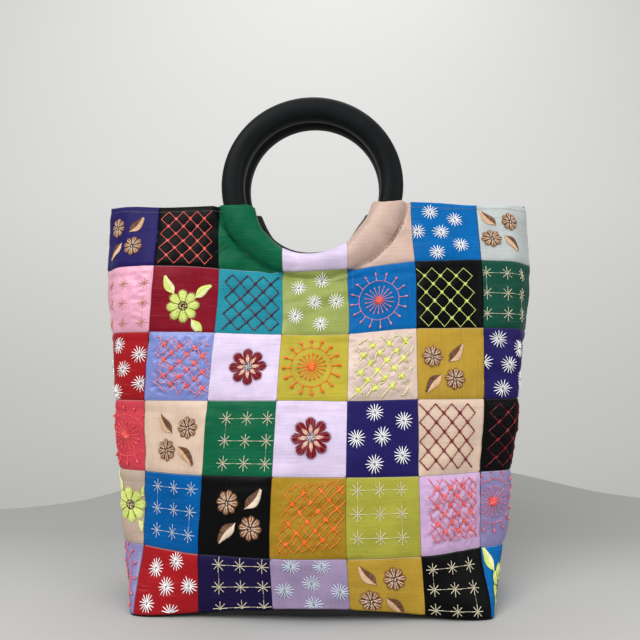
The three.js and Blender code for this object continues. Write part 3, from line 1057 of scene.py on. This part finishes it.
def star(work, colour, centre, arm):
    turn = work.jitter(0.03)
    for i in range(8):
        angle = math.pi * i / 4 + turn
        reach = arm * (1.05 if i % 2 == 0 else 0.95) * (1 + work.jitter(0.04))
        work.stitch(colour, polar(0.1, angle, centre), polar(reach, angle, centre), 0.52, 0.06)
        start, end = polar(reach - 0.3, angle, centre), polar(reach + 0.3, angle, centre)
        work.stitch(colour, start, end, 0.72, 0.06)
    knots(work, (colour, "smoke"), centre, 0.6, 3, 0.8)


def stars(work, colour):
    pitch = 16.2
    faint = colour == "tan"
    arm = 3.6 if faint else 4.5
    spots = [[((i - 1) * pitch, (1 - j) * pitch) for i in range(3)] for j in range(3)]
    for line in spots:
        for centre in line:
            star(work, colour, centre, arm)
        for left, right in zip(line, line[1:]):
            if not faint:
                start, end = (left[0] + arm, left[1]), (right[0] - arm, right[1])
                run_of_stitches(work, colour, start, end, 7, 0.24)
    for top, low in ((spots[0][0], spots[1][0]), (spots[1][2], spots[2][2])):
        run_of_stitches(work, colour, (top[0], top[1] - arm), (low[0], low[1] + arm), 7, 0.13)


def cross_knot(work, colour, centre):
    reach = 1.25 + 0.6 * work.loose
    for i in range(4):
        angle = math.pi / 4 + math.pi * i / 4 + work.jitter(0.12)
        arm = reach * (1.25 if i % 2 == 0 else 0.9)
        width = 0.78 + 0.3 * work.loose
        work.stitch(colour, polar(arm, angle, centre), polar(-arm, angle, centre), width, 0.25)


def wandering_stitches(work, colour, start, end, width, hidden):
    """Backstitches that stray from their line, and sink from sight, where the cloth has crinkled."""
    distance = math.dist(start, end)
    count = max(1, round(distance / 3.2))
    spots = [between(start, end, i / count) for i in range(count + 1)]
    spots = [(x + work.jitter(0.8) * work.loose, y + work.jitter(0.8) * work.loose) for x, y in spots]
    for left, right in zip(spots, spots[1:]):
        if work.rng.uniform() >= hidden:
            work.stitch(colour, between(left, right, 0.02), between(left, right, 0.95), width, 0.1)


def lattice(work, colour):
    """A trellis that turns back at the edges of a box, with a knot at each crossing."""
    half = LATTICE_CELLS / 2
    cells = LATTICE_CELLS
    cloth_name = patch_words(work.column, work.row)[0]
    lean_x, rise, wide, tall = slant(work.column, work.row)
    line_colour = SOFT_LINES.get(cloth_name, colour)

    def spot(x, y):
        right = (x - half) * LATTICE_X * wide * work.flip
        up = (half - y) * LATTICE_Y * tall
        return (right + lean_x * up) * work.flip, up + rise * right

    def trellis(first_sum, first_gap, width, hidden):
        for i in range(7):
            total = first_sum + i
            start = (max(0, total - cells), min(total, cells))
            end = (min(total, cells), max(0, total - cells))
            if 0 < total < 2 * cells:
                wandering_stitches(work, line_colour, spot(*start), spot(*end), 0.70 * width, hidden)
        for i in range(6):
            gap = first_gap + i
            start = (max(gap, 0), max(-gap, 0))
            end = (min(cells, cells + gap), min(cells, cells - gap))
            wandering_stitches(work, line_colour, spot(*start), spot(*end), 0.52 * width, hidden)

    heavy = {"plum": 1.6, "lime": 0.9}.get(colour, 1.0) + 0.5 * work.loose
    if colour == "crimson":
        heavy = 0.8 if cloth_name == "black" else 1.55
    trellis(0.5, -2.5, heavy, FAINT_LATTICES.get(cloth_name, 0))
    if cloth_name in DENSE_LATTICES:
        trellis(1.0, -3.0, 0.7 * heavy, DENSE_LATTICES[cloth_name])
    for i in range(7):
        for j in range(6):
            x, y = (i + j - 2.0) / 2, (i - j + 3.0) / 2
            if 0.2 < x < cells - 0.2 and 0.2 < y < cells - 0.2:
                cross_knot(work, colour, spot(x, y))


def sunburst(work, colour):
    """A wheel: a round middle, short spokes, a ring, and outer spokes that end in clubs."""
    cloth_name = patch_words(work.column, work.row)[0]
    wheel = PALE_WHEELS.get(cloth_name, colour)
    heavy = 1.35 if cloth_name == "chartreuse" else 1.0
    for i in range(10):
        angle = 2 * math.pi * i / 10
        work.stitch(colour, polar(0.2, angle), polar(3.3, angle), 1.5, 0.2)
    inner, outer, ring = 18, 16, 34
    for i in range(inner):
        angle = 2 * math.pi * i / inner + 0.1
        tip = 10.6 + work.jitter(0.3)
        work.stitch(wheel, polar(3.4, angle), polar(tip, angle), 0.55 * heavy)
        work.stitch(wheel, polar(tip - 1.0, angle), polar(tip + 0.7, angle), 1.05 * heavy, 0.15)
    for i in range(outer):
        angle = 2 * math.pi * i / outer + 0.05
        work.stitch(wheel, polar(16.2, angle), polar(17.6, angle), 0.95 * heavy, 0.05)
        work.stitch(wheel, polar(16.6, angle), polar(21.6, angle), 0.62 * heavy)
        club = colour if heavy > 1 else wheel
        work.stitch(club, polar(20.9, angle), polar(23.2, angle), 1.75 * heavy, 0.2)
        work.stitch(colour, polar(21.4, angle), polar(22.8, angle), 0.9 * heavy, 0.5)
    for i in range(ring):
        angle = 2 * math.pi * i / ring
        work.stitch(wheel, polar(16.2, angle), polar(16.2, angle + 2 * math.pi / ring * 0.88), 0.58)


def petal(
    work, colour, centre, angle, inner, outer, half_width, lift=0.2, step=0.62, narrow=0.42,
):
    """Satin stitches side by side, which fill a round-tipped petal."""
    count = int(half_width / step)
    belly = outer - half_width
    for k in range(-count, count + 1):
        off = k * step
        tip = belly + math.sqrt(max(half_width**2 - off**2, 0))
        start = turned(inner + 0.25 * abs(off), off * narrow, angle, centre)
        end = turned(tip + work.jitter(0.1), off, angle, centre)
        work.stitch(colour, start, end, step * 1.35, lift)


def turned(along, across, angle, centre):
    x = along * math.cos(angle) - across * math.sin(angle)
    y = along * math.sin(angle) + across * math.cos(angle)
    return centre[0] + x, centre[1] + y


def leaf(work, first, second, root, tip, half_width):
    """Satin stitches slanting from the rib to a pointed leaf's edges, one colour on each half."""
    length = math.dist(root, tip)
    angle = math.atan2(tip[1] - root[1], tip[0] - root[0])
    steps = int(length / 0.6)
    for k in range(steps):
        share = (k + 0.5) / steps
        swell = half_width * math.sin(math.pi * share**0.66) ** 0.9 * (1.1 - 0.45 * share) + 0.12
        bend = 1.0 * math.sin(math.pi * share) - 0.8 * share**3
        lead = min(share + 0.12, 0.999)
        for side, colour in ((1, first), (-1, second)):
            start = turned(length * share, bend, angle, root)
            end = turned(length * lead, bend + side * swell, angle, root)
            work.stitch(colour, start, end, 0.82, 0.2)


def bloom(work, colour):
    """One large flower with eight petals and three leaves."""
    for i in range(8):
        angle = math.pi * i / 4 + 0.1
        petal(work, colour, (0, 0), angle, 3.4, 12.2, 3.8, narrow=0.46)
        work.stitch("pale_lime", polar(9.2, angle - 0.06), polar(11.6, angle - 0.1), 0.9, 0.5)
        work.stitch("pale_lime", polar(9.2, angle + 0.06), polar(11.6, angle + 0.1), 0.9, 0.5)
        work.stitch("moss", polar(4.6, angle), polar(8.6, angle), 0.5, 0.5)
        work.stitch("ivory", polar(4.6, angle + 0.2), polar(6.0, angle + 0.2), 1.0, 0.55)
        side = angle + math.pi / 8
        work.stitch("moss", polar(3.8, side), polar(9.4, side), 0.85, 0.42)
    for i in range(10):
        angle = 2 * math.pi * i / 10
        work.stitch("umber", polar(3.5, angle), polar(3.5, angle + 0.5), 1.05, 0.6)
    knots(work, ("ivory", "umber"), (0, 0), 2.9, 8, 1.1)
    for root, tip in (((-8, 9.5), (-17.0, 24.5)), ((9.5, 7), (22.0, 18.5)), ((8, -11), (17.5, -24.5))):
        leaf(work, colour, "pale_lime", root, tip, 3.3)
        run_of_stitches(work, "moss", between(root, tip, 0.05), between(root, tip, 0.8), 3.5, 0.55)


def flower(work, colour):
    """Eight dark petals, each with a peach flame towards a silvery middle."""
    for i in range(8):
        angle = math.pi * i / 4 + 0.06
        petal(work, colour, (0, 0), angle, 3.6, 13.6, 4.3, narrow=0.46)
        for off, reach in ((-0.19, 7.2), (-0.07, 9.0), (0.06, 9.4), (0.18, 7.4)):
            work.stitch("flame", polar(4.3, angle + off * 1.1), polar(reach, angle + off * 0.8), 0.72, 0.5)
    knots(work, ("silver", "cream", "ash", "silver"), (0, 0), 3.9, 22, 1.05)


def small_flower(work, centre):
    for i in range(8):
        angle = math.pi * i / 4 + 0.12
        petal(work, "chestnut", centre, angle, 2.0, 7.6, 2.65, 0.15, 0.6)
        for off in (-0.20, 0.20):
            start, end = polar(5.4, angle + off, centre), polar(7.2, angle + off * 0.6, centre)
            work.stitch("buff", start, end, 0.8, 0.45)
        for off in (-0.14, 0.14):
            start, end = polar(2.7, angle + off, centre), polar(5.4, angle + off, centre)
            work.stitch("ivory", start, end, 0.62, 0.5)
        side = angle + math.pi / 8
        work.stitch("umber", polar(2.0, side, centre), polar(6.4, side, centre), 0.75, 0.42)
    knots(work, ("ivory", "umber"), centre, 2.3, 9, 0.95)


def posy(work, colour):
    """Two small flowers on one diagonal and two leaves on the other."""
    small_flower(work, (9.2, 7.8))
    small_flower(work, (-8.8, -9.2))
    pale = "ivory" if patch_words(work.column, work.row)[0] == "black" else "buff"
    leaf(work, pale, "hazel", (-4.2, 3.6), (-15.6, 17.0), 3.8)
    leaf(work, "hazel", pale, (2.2, -6.0), (15.0, -19.4), 3.8)


MOTIFS = {
    "daisies": daisies, "stars": stars, "lattice": lattice, "sunburst": sunburst,
    "bloom": bloom, "flower": flower, "posy": posy,
}


def place_of(cloth, x, z):
    """The place on the front of the cloth that is at x across and z up, by a few Newton steps."""
    a, v = MIDDLE + x / PATCH, 0.9
    for _ in range(6):
        spots, _ = cloth.at(np.array((a, a + 0.02, a)), np.array((v, v, v + 0.02)))
        gap = np.array((x - spots[0][0], z - spots[0][2]))
        slope = np.array(((spots[1] - spots[0])[[0, 2]], (spots[2] - spots[0])[[0, 2]])).T / 0.02
        step = np.clip(np.linalg.solve(slope, gap), -0.25, 0.25)
        a, v = a + step[0], min(max(v + step[1], 0.0), 1.6)
    return a, v


def sew_seams(work, cloth):
    """Topstitching below the rim, and the line that closes the front casing under its ring."""
    step = 0.062
    for i in range(int(COLUMNS / step)):
        a = i * step
        if 2.1 < a < 4.9 or 9.1 < a < 11.9:
            continue
        work.free_stitch("smoke", (a, 0.085), (a + 0.8 * step, 0.085), 0.26)
    reach, count = 1.16, 46
    radius = STITCH_RING + 1.0 * MM
    spots = []
    for i in range(count + 1):
        swing = reach * (2 * i / count - 1)
        spots.append(place_of(cloth, radius * math.sin(swing), RING_HEIGHT[-1] - radius * math.cos(swing)))
    for left, right in zip(spots, spots[1:]):
        if left[1] < 0.96:
            # On the emerald the crease stitches are a near-black green, dark enough to serve as the
            # crease's shade too: real stitching with painted shade.
            colour = "pine" if left[0] < MIDDLE else "umber"
            work.free_stitch(colour, left, between(left, right, 0.66), 0.46, 0.4)


def embroider(cloth):
    work = Embroidery(cloth)
    for column in range(COLUMNS):
        for row in range(ROWS):
            _, motif, colour = patch_words(column, row)
            mirrored = motif.endswith("-")
            motif = motif.rstrip("-")
            if motif == "plain":
                continue
            work.begin(column, row, mirrored, motif_shift(column, row))
            MOTIFS[motif](work, colour)
    sew_seams(work, cloth)
    return work.stitches


def stitch_tree():
    """One arched, tapered stitch on every guide point, laid along its thread."""
    tree = bpy.data.node_groups.new("stitches", "GeometryNodeTree")
    for name, direction, kind, value in (
        ("Guides", "INPUT", "Geometry", None), ("Sides", "INPUT", "Int", 4),
        ("Bends", "INPUT", "Int", 5), ("Arch", "INPUT", "Float", 0.5),
        ("Shade seed", "INPUT", "Int", 4), ("Thread", "INPUT", "Material", None),
        ("Stitches", "OUTPUT", "Geometry", None),
    ):
        socket = tree.interface.new_socket(name, in_out=direction, socket_type=f"NodeSocket{kind}")
        if value is not None:
            socket.default_value = value
    given = node(tree, "NodeGroupInput").outputs
    result = node(tree, "NodeGroupOutput")

    def add(kind, output, inputs, **settings):
        """The output of a new node with its inputs filled."""
        made = node(tree, kind, **settings)
        fill(tree, made, inputs)
        return made.outputs[output]

    def read(name, kind):
        return add("GeometryNodeInputNamedAttribute", "Attribute", {"Name": name}, data_type=kind)

    line = add("GeometryNodeCurvePrimitiveLine", "Curve", {"End": (1, 0, 0)})
    bends = add("GeometryNodeResampleCurve", "Curve", {"Curve": line, "Count": given["Bends"]})
    share = node(tree, "GeometryNodeSplineParameter").outputs["Factor"]
    hump = add("ShaderNodeMath", 0, {0: share, 1: 0.5}, operation="PINGPONG")
    rounded = add("ShaderNodeMath", 0, {0: hump, 1: 0.45}, operation="POWER")
    lift = add("ShaderNodeMath", 0, {0: rounded, 1: given["Arch"]}, operation="MULTIPLY")
    offset = add("ShaderNodeCombineXYZ", 0, {"Z": lift})
    bent = add("GeometryNodeSetPosition", "Geometry", {"Geometry": bends, "Offset": offset})
    circle = {"Radius": 0.5, "Resolution": given["Sides"]}
    profile = add("GeometryNodeCurvePrimitiveCircle", "Curve", circle)
    taper = add("ShaderNodeMath", 0, {0: rounded, 1: 0.38, 2: 0.72}, operation="MULTIPLY_ADD")
    curve = add("GeometryNodeSetCurveRadius", "Curve", {"Curve": bent, "Radius": taper})
    form = node(tree, "GeometryNodeCurveToMesh")
    fill(tree, form, {"Curve": curve, "Profile Curve": profile, "Fill Caps": True})
    if "Scale" in form.inputs:
        fill(tree, form, {"Scale": taper})

    along = read("along", "FLOAT_VECTOR")
    width = read("width", "FLOAT")
    aimed = add("FunctionNodeAlignRotationToVector", "Rotation", {"Vector": along}, axis="X")
    turn = {"Rotation": aimed, "Vector": read("up", "FLOAT_VECTOR")}
    upright = add("FunctionNodeAlignRotationToVector", "Rotation", turn, axis="Z", pivot_axis="X")
    length = add("ShaderNodeVectorMath", "Value", {0: along}, operation="LENGTH")
    size = add("ShaderNodeCombineXYZ", 0, {"X": length, "Y": width, "Z": width})
    placed = add("GeometryNodeInstanceOnPoints", "Instances", {
        "Points": given["Guides"], "Instance": form.outputs["Mesh"], "Rotation": upright, "Scale": size,
    })
    chance = add("FunctionNodeRandomValue", "Value", {"Seed": given["Shade seed"]}, data_type="FLOAT")
    tone = {"Name": "tone", "Geometry": placed, "Value": chance}
    toned = add(
        "GeometryNodeStoreNamedAttribute", "Geometry", tone, data_type="FLOAT", domain="INSTANCE")
    real = add("GeometryNodeRealizeInstances", "Geometry", {"Geometry": toned})
    rounded_faces = add("GeometryNodeSetShadeSmooth", "Geometry", {"Geometry": real})
    paint = {"Geometry": rounded_faces, "Material": given["Thread"]}
    fill(tree, result, {"Stitches": add("GeometryNodeSetMaterial", "Geometry", paint)})
    return tree


def socket_id(tree, name):
    return next(item.identifier for item in tree.interface.items_tree if item.name == name)


def stitch_piece(name, tree, cloth, stitches, material, sides, bends):
    """All the stitches of one thread colour, as one plain mesh."""
    rows = np.array(stitches)
    start, up = cloth.at(rows[:, 0], rows[:, 1])
    end, up_end = cloth.at(rows[:, 2], rows[:, 3])
    width = rows[:, 4] * MM
    up = up + up_end
    up /= np.linalg.norm(up, axis=1, keepdims=True)
    sunk = np.zeros(len(rows))
    for share in (0.25, 0.5, 0.75):
        across = rows[:, 0] * (1 - share) + rows[:, 2] * share
        down = rows[:, 1] * (1 - share) + rows[:, 3] * share
        over = cloth.at(across, down)[0] - start * (1 - share) - end * share
        sunk = np.maximum(sunk, (over * up).sum(axis=1))
    raise_by = (rows[:, 5] * MM + 0.12 * width + 0.85 * sunk)[:, None]
    start = start + up * raise_by
    mesh = bpy.data.meshes.new(name + "_guides")
    mesh.from_pydata([tuple(p) for p in start], [], [])
    for key, kind, values in (
        ("along", "FLOAT_VECTOR", end + up * raise_by - start),
        ("up", "FLOAT_VECTOR", up),
        ("width", "FLOAT", width),
    ):
        layer = mesh.attributes.new(key, kind, "POINT")
        layer.data.foreach_set("vector" if kind == "FLOAT_VECTOR" else "value", np.asarray(values).ravel())
    guides = into_scene(name + "_guides", mesh)
    modifier = guides.modifiers.new("stitches", "NODES")
    modifier.node_group = tree
    modifier[socket_id(tree, "Sides")] = sides
    modifier[socket_id(tree, "Bends")] = bends
    modifier[socket_id(tree, "Arch")] = 0.42
    modifier[socket_id(tree, "Thread")] = material
    graph = bpy.context.evaluated_depsgraph_get()
    plain = bpy.data.meshes.new_from_object(guides.evaluated_get(graph))
    plain.name = name
    if not plain.materials:
        plain.materials.append(material)
    bpy.data.objects.remove(guides)
    piece = into_scene(name, plain)
    finish_piece(piece, ())
    return piece


# The table, the light and the camera

def table_and_wall():
    """A grey table top with a rounded far end, and a paler wall behind it."""
    keys = (-2.4, -0.7, -0.45, -0.33, -0.28, -0.1, 0.1, 0.25, 0.34, 0.42, 0.6, 2.4)
    ends = (0.20, 0.22, 0.24, 0.30, 0.43, 0.66, 0.70, 0.64, 0.52, 0.36, 0.27, 0.22)
    across = np.linspace(keys[0], keys[-1], 240)
    far_edge = smooth(keys, ends, across)
    corners = [(-2.4, -1.6, 0.0), (2.4, -1.6, 0.0)]
    corners += [(x, y, 0.0) for x, y in zip(across[::-1], far_edge[::-1])]
    table = backdrop("table_top", corners)
    # Painted light: the table top is lighter towards the front and darker towards the back.
    paint_light_falloff(table, "Y", (-0.3, 0.6), (
        (0.2, (0.46, 0.455, 0.45, 1)), (0.36, (0.385, 0.385, 0.38, 1)), (0.5, (0.305, 0.305, 0.30, 1)),
        (0.8, (0.285, 0.29, 0.285, 1)),
    ))
    back = 1.3
    wall = backdrop("wall", [(-4.0, back, -1.2), (4.0, back, -1.2), (4.0, back, 3.2), (-4.0, back, 3.2)])
    # Painted light: the wall is darker low down and lighter higher up.
    paint_light_falloff(wall, "Z", (-0.3, 1.2), (
        (0.0, (0.57, 0.57, 0.555, 1)), (0.3, (0.59, 0.59, 0.575, 1)), (0.7, (0.645, 0.645, 0.635, 1)),
        (1.0, (0.64, 0.64, 0.63, 1)),
    ))


def paint_light_falloff(tree, axis, limits, stops):
    """Painted light and shade: a tone that changes slowly along one axis, as the light falls off."""
    shader = tree.nodes["Principled BSDF"]
    parts = node(tree, "ShaderNodeSeparateXYZ")
    tree.links.new(node(tree, "ShaderNodeTexCoord").outputs["Object"], parts.inputs[0])
    share = node(tree, "ShaderNodeMapRange")
    share.inputs["From Min"].default_value, share.inputs["From Max"].default_value = limits
    tree.links.new(parts.outputs[axis], share.inputs["Value"])
    tree.links.new(ramp(tree, share.outputs["Result"], stops), shader.inputs["Base Color"])
    shader.inputs["Roughness"].default_value = 0.7
    shader.inputs["Specular IOR Level"].default_value = 0.2


def backdrop(name, corners):
    material, tree, _ = new_material(name)
    mesh = bpy.data.meshes.new(name)
    mesh.from_pydata(corners, [], [tuple(range(len(corners)))])
    mesh.materials.append(material)
    sheet = into_scene(name, mesh)
    return tree


def soft_light(name, place, aim, size, power):
    data = bpy.data.lights.new(name, "AREA")
    data.shape = "RECTANGLE"
    data.size, data.size_y = size
    data.energy = power
    lamp = into_scene(name, data)
    lamp.location = place
    lamp.rotation_euler = (Vector(aim) - Vector(place)).to_track_quat("-Z", "Y").to_euler()


def light_and_camera():
    bpy.context.scene.view_settings.view_transform = "Standard"
    world = bpy.data.worlds.new("studio")
    world.use_nodes = True
    world.node_tree.nodes["Background"].inputs["Color"].default_value = (1.0, 0.995, 0.985, 1)
    world.node_tree.nodes["Background"].inputs["Strength"].default_value = 0.52
    bpy.context.scene.world = world
    soft_light("window", (-0.9, -1.5, 1.7), (0, 0, 0.2), (1.5, 1.1), 42)
    soft_light("ceiling", (0.2, 0.1, 2.2), (0, 0, 0.1), (2.0, 1.6), 17)
    soft_light("fill", (1.4, -1.1, 0.7), (0, 0, 0.2), (1.2, 1.2), 10)
    data = bpy.data.cameras.new("photo_camera")
    data.sensor_width = 36
    data.lens = 29.53
    camera = into_scene("photo_camera", data)
    camera.location = (0.0162, -0.450, 0.174)
    camera.rotation_euler = (math.radians(90 + 6.0), 0, math.radians(1.4))
    bpy.context.scene.camera = camera


def build():
    cloth = Cloth()
    silks = {name: silk(name, colour) for name, colour in SILKS.items()}
    lining = lining_cloth()
    cotton = black_cloth()
    lacquer = ring_lacquer()
    for name, start, end, nodes in (
        ("patchwork_front", 1, 6, ("front_panel", "casing_front")),
        ("patchwork_side_right", 6, 8, ("side_right",)),
        ("patchwork_back", 8, 13, ("back_panel", "casing_back")),
        ("patchwork_side_left", 13, 15, ("side_left",)),
    ):
        panel = cloth_panel(name, cloth, start, end, silks, lining, nodes)
    base = base_piece(cloth, cotton)
    for side, word in ((-1, "front"), (1, "back")):
        ring_piece(f"ring_{word}", RING_HEIGHT[side], side, lacquer)
        snug = (0.2 if side < 0 else 0.8) * MM
        strip = tube_strip(f"facing_{word}", RING_HEIGHT[side], side, -0.12, 2.5, snug, 0.8 * MM, cotton)
    tree = stitch_tree()
    stitches = embroider(cloth)
    for colour, rows in sorted(stitches.items()):
        stitch_piece(f"embroidery_{colour}", tree, cloth, rows, thread(colour, THREADS[colour]), 4, 5)


table_and_wall()
light_and_camera()
build()
